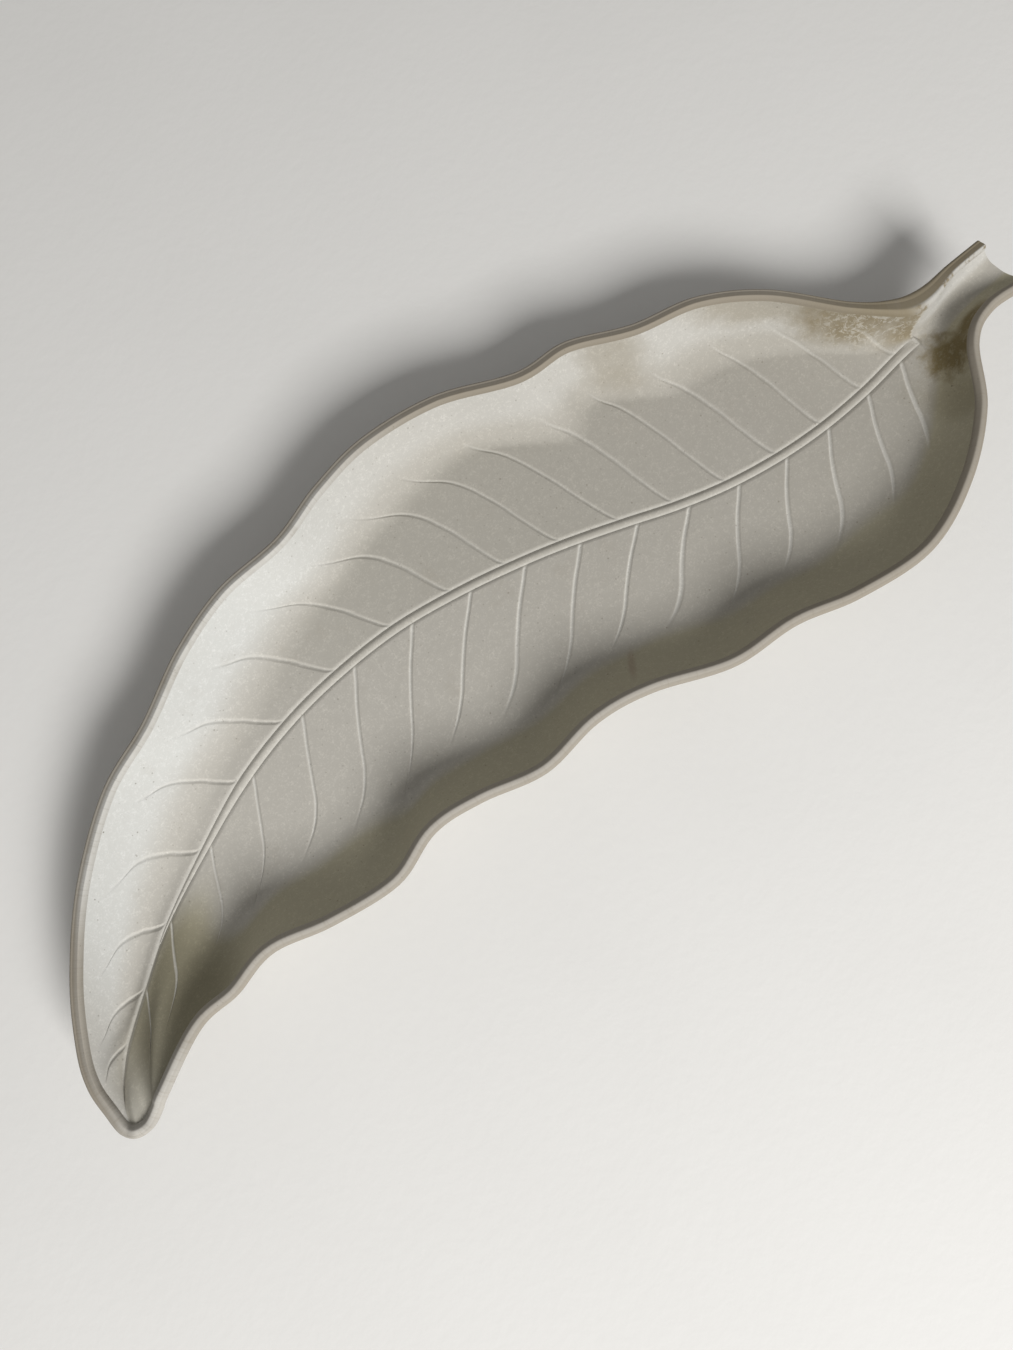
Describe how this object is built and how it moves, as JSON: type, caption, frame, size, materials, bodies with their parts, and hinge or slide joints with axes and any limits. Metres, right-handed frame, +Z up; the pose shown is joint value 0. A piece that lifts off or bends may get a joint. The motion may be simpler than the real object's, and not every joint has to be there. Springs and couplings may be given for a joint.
{
  "type": "leaf shaped dish",
  "caption": "Shallow ceramic serving dish in the shape of a long curved leaf, with engraved side veins, a rounded midrib between fine grooves, a wavy rolled rim and an open trough for a stalk",
  "frame": {"origin": "On the table, under the middle of the dish's length and width", "axes": "+X from the leaf's tip to its stalk, +Y to the side where the leaf bulges most, +Z up out of the open dish"},
  "size_m": [0.4603, 0.1839, 0.0408],
  "materials": {
    "clay": "matt, pale warm grey with fine speckles and tan worn patches",
    "lip_clay": "matt, a little browner on top where the glaze is thin",
    "foot_clay": "bare matt clay, rubbed smooth"
  },
  "bodies": {
    "root": {"leaf_bowl": "clay", "rim_lip": "lip_clay", "stalk": "clay", "midrib": "clay", "foot_ring": "foot_clay"}
  },
  "joints": []
}
